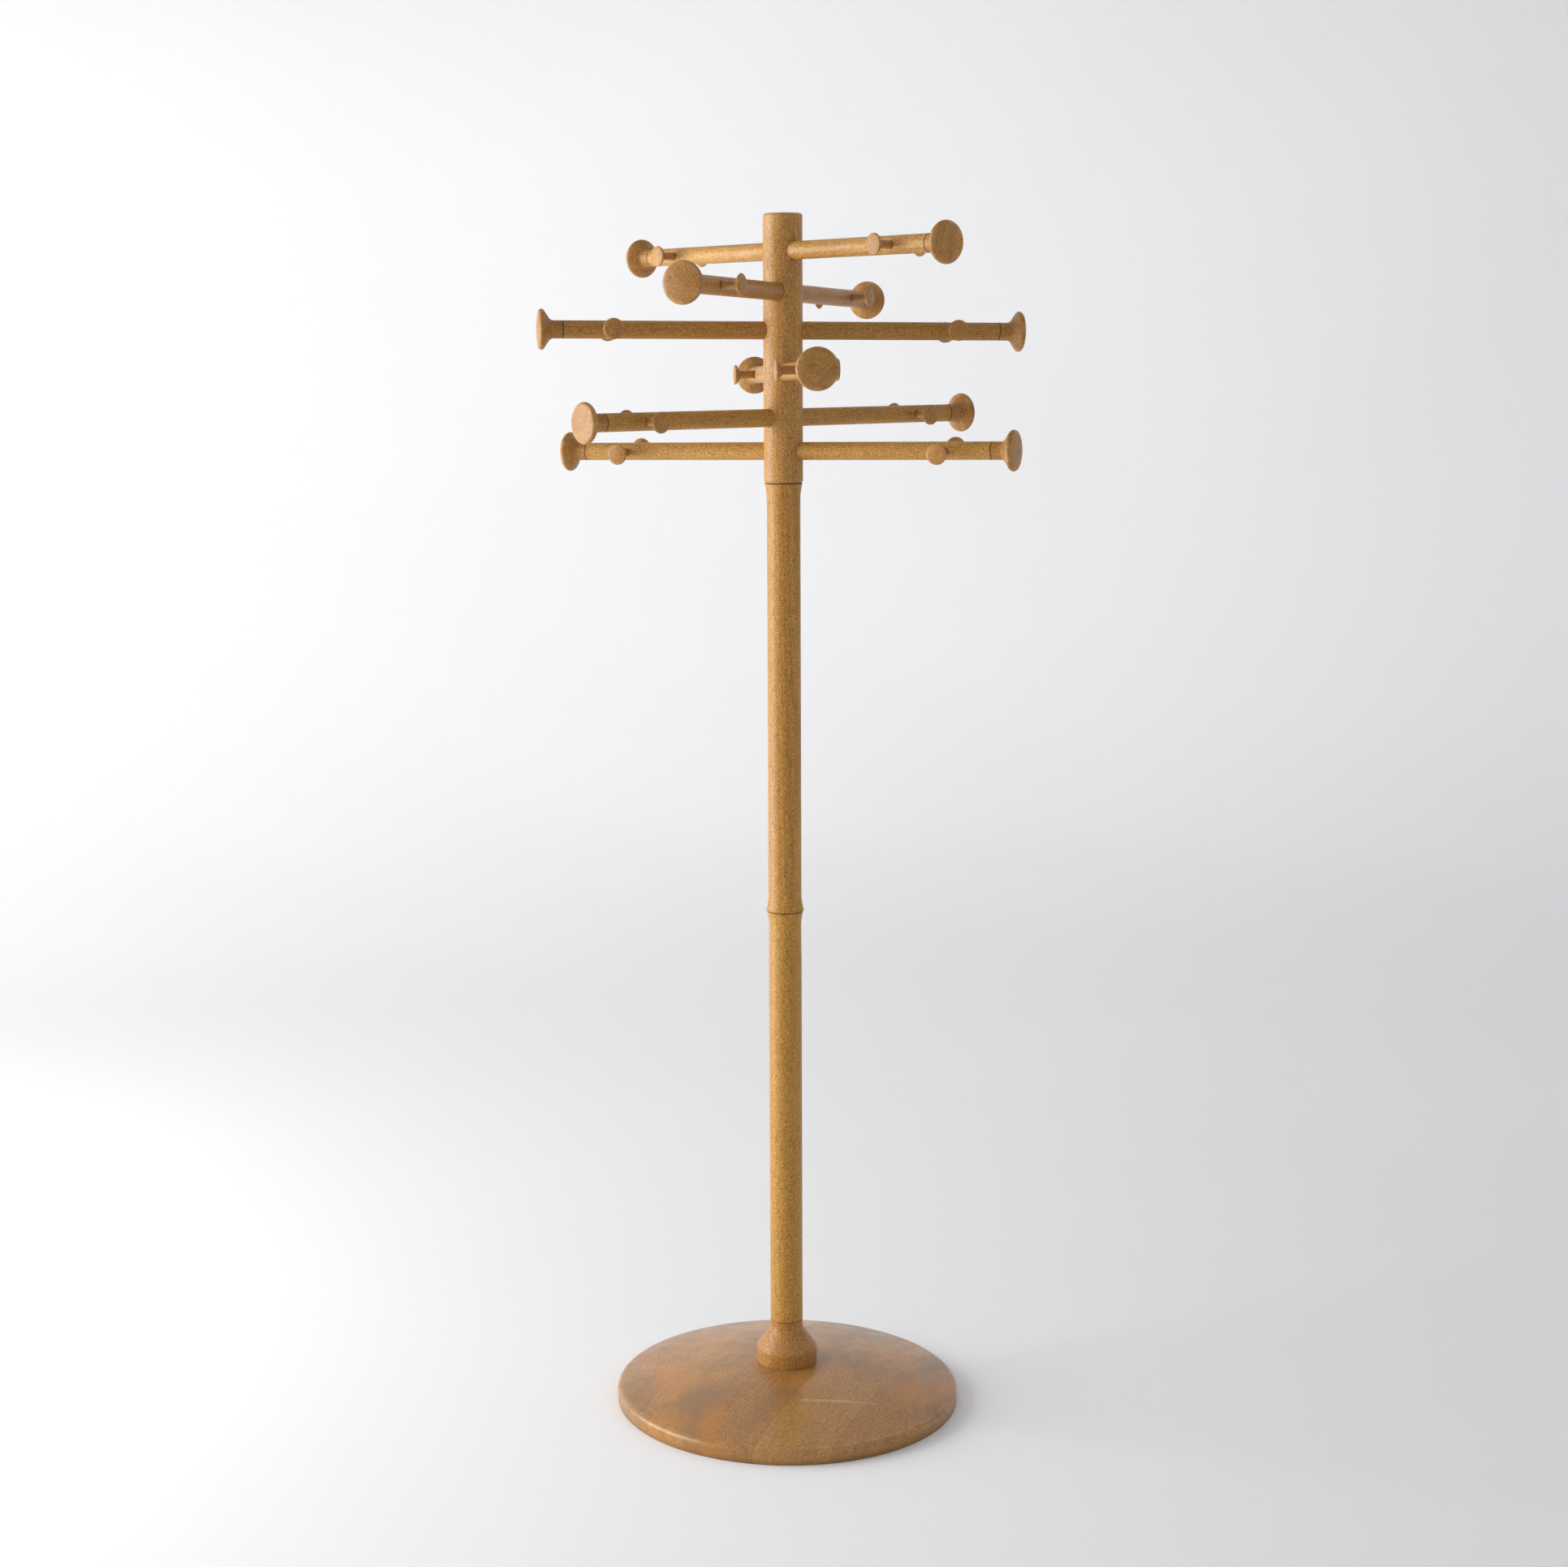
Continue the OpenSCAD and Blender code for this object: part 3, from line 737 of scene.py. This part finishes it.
def makePeg(i, e, s, a, p):
    neck = p["neck"] / 2
    back = [
        (0, p["root"] - p["reach"]), (neck - 0.4, p["root"] - p["reach"]), (neck, p["root"] - p["reach"] + 0.4),
    ]
    # the neck is darkened where it enters the arm: dirt together with painted shade
    back += [
        (neck, a["radius"] - p["reach"] - 0.5, -0.8), (neck, a["radius"] - p["reach"] + 0.6, -0.6),
        (neck, a["radius"] - p["reach"] + 2.5),
    ]
    bm = turnPiece(mushroom(p, neck, back), 64)
    place = acrossArm(i, e, s, a) @ Matrix.Translation((0, 0, p["reach"] * mm))
    tone = math.sin(4.1 * i + 2.7 * e + 1.3 * s)
    node = "peg_%d%s_%s" % (i + 1, "ab"[e], ("front", "back")[s])
    shade = (a["shades"][i][0] * 0.3 - 0.22 + 0.10 * tone, -0.20 + 0.1 * tone)
    finishPiece(
        bm, node, "head_section", turnedBeech, place, seed=40 + 4 * i + 2 * e + s, shade=shade,
        pith=0.02,
    )


for i in range(6):
    makeArm(i, arms, knob, peg)
    for e in (0, 1):
        makeKnob(i, e, arms, knob)
        for s in (0, 1):
            makePeg(i, e, s, arms, peg)
print("stage 7: arms, knobs and pegs made")

stud = dict(radius=6, pitch=1.75, depth=0.95, lead=1.5)
screw = dict(headRadius=4.9, headHeight=4.9, shank=2.45, sink=4, recess=(1.1, 5.4, 2.4))


def makeStud(node, body, m):
    # a plain core with one spun thread winding up it
    low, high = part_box(node)
    z, top = low.z / mm, high.z / mm
    core = m["radius"] - m["depth"]
    bm = turnPiece(
        [(0, z), (core - 0.6, z), (core, z + 0.6), (core, top - 0.8), (core - 0.8, top, 0.3), (0, top, 0.3)],
        48,
    )
    turns = (top - z - 2 * m["lead"]) / m["pitch"] - 1
    corners = [
        (core - 0.05, -0.42), (core - 0.05, 0.42), (m["radius"] - 0.03, 0.09), (m["radius"] - 0.03, -0.09),
    ]
    ridge = [bm.verts.new((r * mm, 0, (z + m["lead"] + m["pitch"] / 2 + dz) * mm)) for r, dz in corners]
    first = bm.faces.new(ridge)
    count = round(turns * 24)
    climb = m["pitch"] * turns / count * mm
    bmesh.ops.spin(bm, geom=[first], axis=(0, 0, 1), angle=math.tau * turns, steps=count, dvec=(0, 0, climb))
    bmesh.ops.recalc_face_normals(bm, faces=bm.faces[:])
    finishPiece(bm, node, body, zincSteel)


def makeScrews(m):
    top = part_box("collar_screws")[1].z / mm
    heads = bmesh.new()
    for n in range(3):
        z = m["sink"]
        outline = [
            (0, z), (m["headRadius"] - 0.3, z), (m["headRadius"], z + 0.25, 0.5),
            (m["shank"], z + m["headHeight"]), (m["shank"], top - 4), (0.3, top), (0, top),
        ]
        bm = turnPiece(outline, 40)
        wide, long, deep = m["recess"]
        sized = Matrix.Diagonal((wide * mm, long * mm, deep * mm, 1))
        for t in (0, 90):
            slot = bmesh.new()
            raised = Matrix.Translation((0, 0, (z + deep / 2 - 0.1) * mm))
            bmesh.ops.create_cube(slot, size=1.0, matrix=turn(t + 25 * n, "Z") @ raised @ sized)
            bm = drill(bm, slot)
        bm.transform(turn(90 + n * 120, "Z") @ Matrix.Translation((base["screwAt"] * mm, 0, 0)))
        piece = bpy.data.meshes.new("screw")
        bm.to_mesh(piece)
        heads.from_mesh(piece)
        bm.free()
    finishPiece(heads, "collar_screws", "foot", zincSteel)


makeStud("foot_stud", "foot", stud)
makeStud("middle_stud", "lower_section", stud)
makeStud("head_stud", "middle_section", stud)
makeScrews(screw)
for node in ("lower_insert", "middle_insert", "head_insert"):
    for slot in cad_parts[node].material_slots:
        slot.material = plainBrass
print("stage 8: studs, screws and inserts finished")

studio = dict(
    floor=(0.895, 0.895, 0.9, 1), radius=6.5, corner=2.2, wall=7.5, sky=(0.97, 0.98, 1.0, 1), skyStrength=0.50,
    lights={
        "key": dict(
            power=116, size=2.6, place=(-3.0, 0.3, 1.3), aim=(0, 0, 0.9), colour=(1.0, 0.99, 0.98), reach=180,
        ),
        "wall": dict(
            power=62, size=2.0, place=(-3.6, 1.2, 2.6), aim=(-2.6, 6.4, 1.6), colour=(1.0, 1.0, 1.0), reach=110,
        ),
        "wash": dict(power=16, size=3.0, place=(0.6, 3.8, 4.6), aim=(0.6, 4.9, 0), colour=(1.0, 1.0, 1.0), reach=120),
    },
)


def makeStudio(s):
    outline = [(0, 0), (1500, 0), (3000, 0), ((s["radius"] - s["corner"]) * 1000, 0)]
    outline += arc((s["radius"] - s["corner"]) * 1000, s["corner"] * 1000, s["corner"] * 1000, -90, 0, 16)
    outline += [(s["radius"] * 1000, s["wall"] * 1000)]
    bm = turnPiece(outline, 96)
    bmesh.ops.reverse_faces(bm, faces=bm.faces[:])
    for f in bm.faces:
        f.smooth = True
    room = looseObject(bm, "studioRoom")
    room.data.materials.append(paperFinish(s["floor"]))
    world = bpy.data.worlds.new("studio")
    scene.world = world
    world.use_nodes = True
    world.node_tree.nodes["Background"].inputs["Color"].default_value = s["sky"]
    world.node_tree.nodes["Background"].inputs["Strength"].default_value = s["skyStrength"]
    for name, light in s["lights"].items():
        data = bpy.data.lights.new(name, "AREA")
        data.energy, data.size, data.color = light["power"], light["size"], light["colour"]
        data.spread = math.radians(light["reach"])
        lamp = bpy.data.objects.new(name, data)
        scene.collection.objects.link(lamp)
        place, aim = Vector(light["place"]), Vector(light["aim"])
        facing = (aim - place).to_track_quat("-Z", "Y").to_matrix().to_4x4()
        lamp.matrix_world = Matrix.Translation(place) @ facing
        lamp.visible_camera = False
    scene.view_settings.view_transform = "Standard"


def paperFinish(colour):
    material, tree, shader = newMaterial("studio paper")
    place = add(tree, "ShaderNodeTexCoord").outputs["Object"]
    cloud = spread(tree, noise(tree, place, 0.6, 2), 0.3, 0.7, 0.0, 1.0)
    tree.links.new(
        blend(tree, cloud, colour, tuple(min(1.0, c * 1.02) for c in colour[:3]) + (1,)),
        shader.inputs["Base Color"],
    )
    shader.inputs["Roughness"].default_value = 0.9
    return material


makeStudio(studio)
print("stage 9: studio made")
